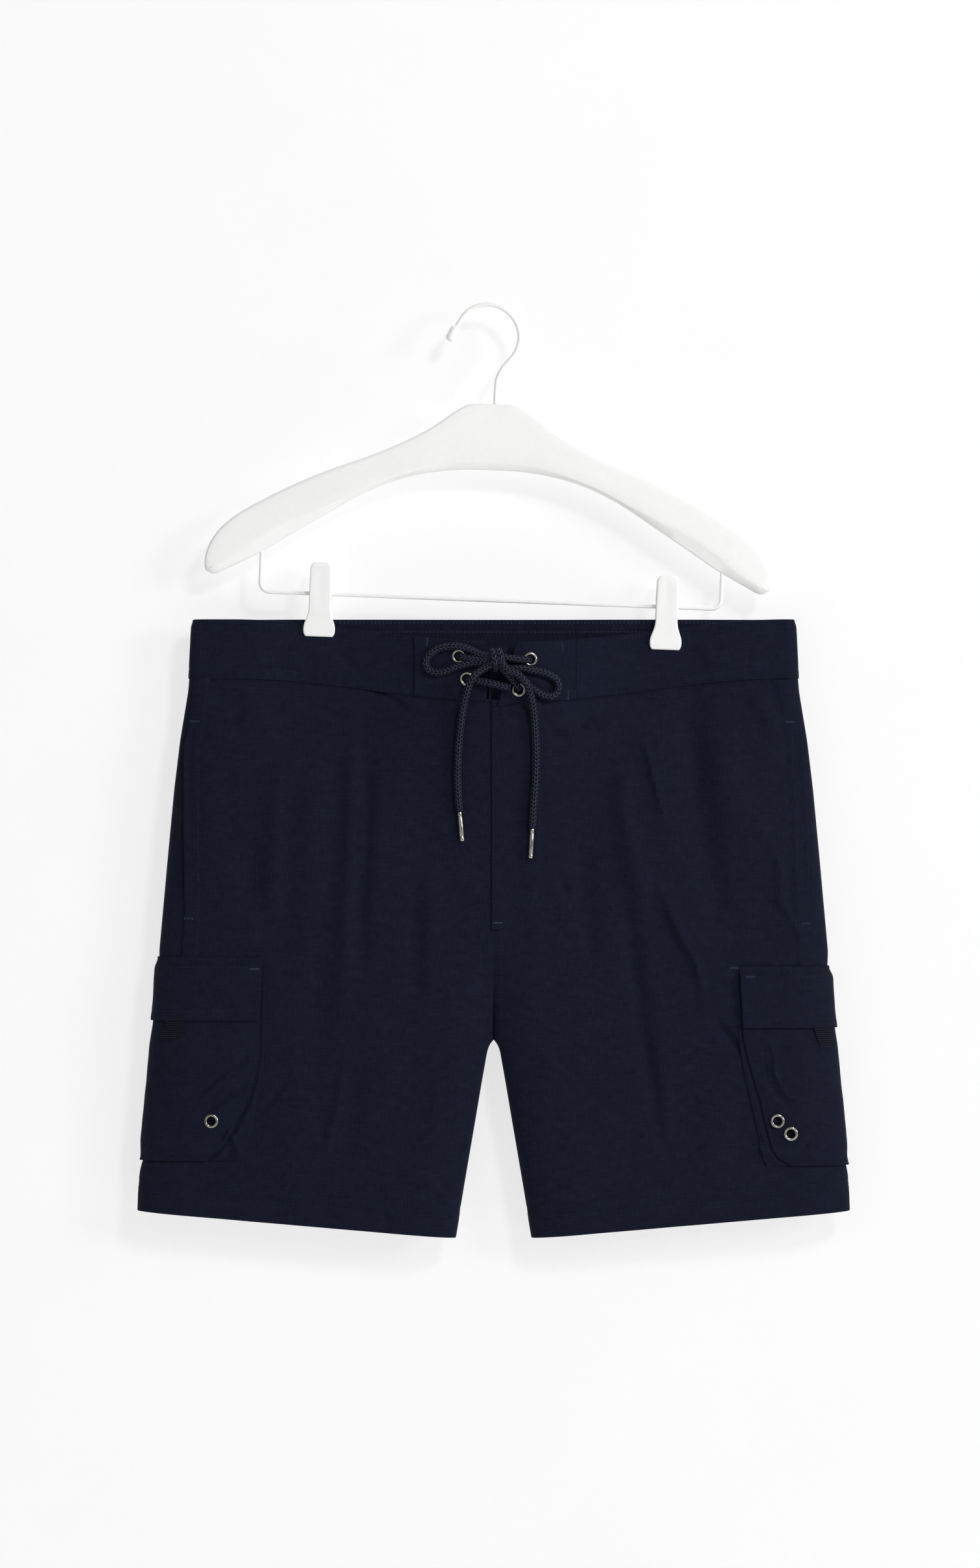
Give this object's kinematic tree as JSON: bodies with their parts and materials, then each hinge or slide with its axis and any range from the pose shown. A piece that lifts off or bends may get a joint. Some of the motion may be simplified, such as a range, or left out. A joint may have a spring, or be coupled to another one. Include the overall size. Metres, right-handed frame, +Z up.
{
  "type": "cargo shorts on a clip hanger",
  "caption": "Dark navy cargo shorts with a laced waistband and flapped bellows pockets on the legs, hanging flat from a white clip hanger.",
  "frame": {"origin": "underside of the top of the hanger's hook, where a rail or peg carries it", "axes": "+Z up along the hang, +X towards the wearer's left leg, -Y out of the front of the shorts"},
  "size_m": [0.531, 0.0528, 0.697],
  "materials": {
    "cloth": "matt plain-weave nylon, dark navy, faint sheen",
    "webbing": "ribbed narrow webbing, dark teal navy",
    "braid": "round braided lace, dark navy with lighter flecks",
    "nickel": "polished nickel, slightly worn",
    "hanger_plastic": "white satin moulding",
    "hanger_wire": "white coated wire"
  },
  "bodies": {
    "root": {"front_panel_right": "cloth", "front_panel_left": "cloth", "back_panel_right": "cloth", "back_panel_left": "cloth", "waistband_front_right": "cloth", "waistband_front_left": "cloth", "waistband_back_right": "cloth", "waistband_back_left": "cloth", "eyelet_tab_right": "cloth", "eyelet_tab_left": "cloth", "waist_underlap": "cloth", "fly": "cloth", "side_pocket_right": "cloth", "side_pocket_left": "cloth", "cargo_gusset_right": "cloth", "cargo_gusset_left": "cloth", "cargo_pocket_right": "cloth", "cargo_pocket_left": "cloth", "pocket_flap_right": "cloth", "pocket_flap_left": "cloth", "pocket_tab_right": "webbing", "pocket_tab_left": "webbing", "eyelet_right_upper": "nickel", "eyelet_right_lower": "nickel", "eyelet_left_upper": "nickel", "eyelet_left_lower": "nickel", "eyelet_pocket_right_1": "nickel", "eyelet_pocket_left_1": "nickel", "eyelet_pocket_left_2": "nickel", "lace_loop_right": "braid", "lace_loop_left": "braid", "lace_crossing": "braid", "lace_tail_right": "braid", "lace_tail_left": "braid", "lace_knot": "braid", "aglet_right": "nickel", "aglet_left": "nickel", "hanger_body": "hanger_plastic", "hanger_hook": "hanger_wire", "hook_cap": "hanger_plastic", "hanger_bar": "hanger_wire", "clip_front_right": "hanger_plastic", "clip_back_right": "hanger_plastic", "clip_hub_right": "hanger_plastic", "clip_front_left": "hanger_plastic", "clip_back_left": "hanger_plastic", "clip_hub_left": "hanger_plastic"}
  },
  "joints": []
}
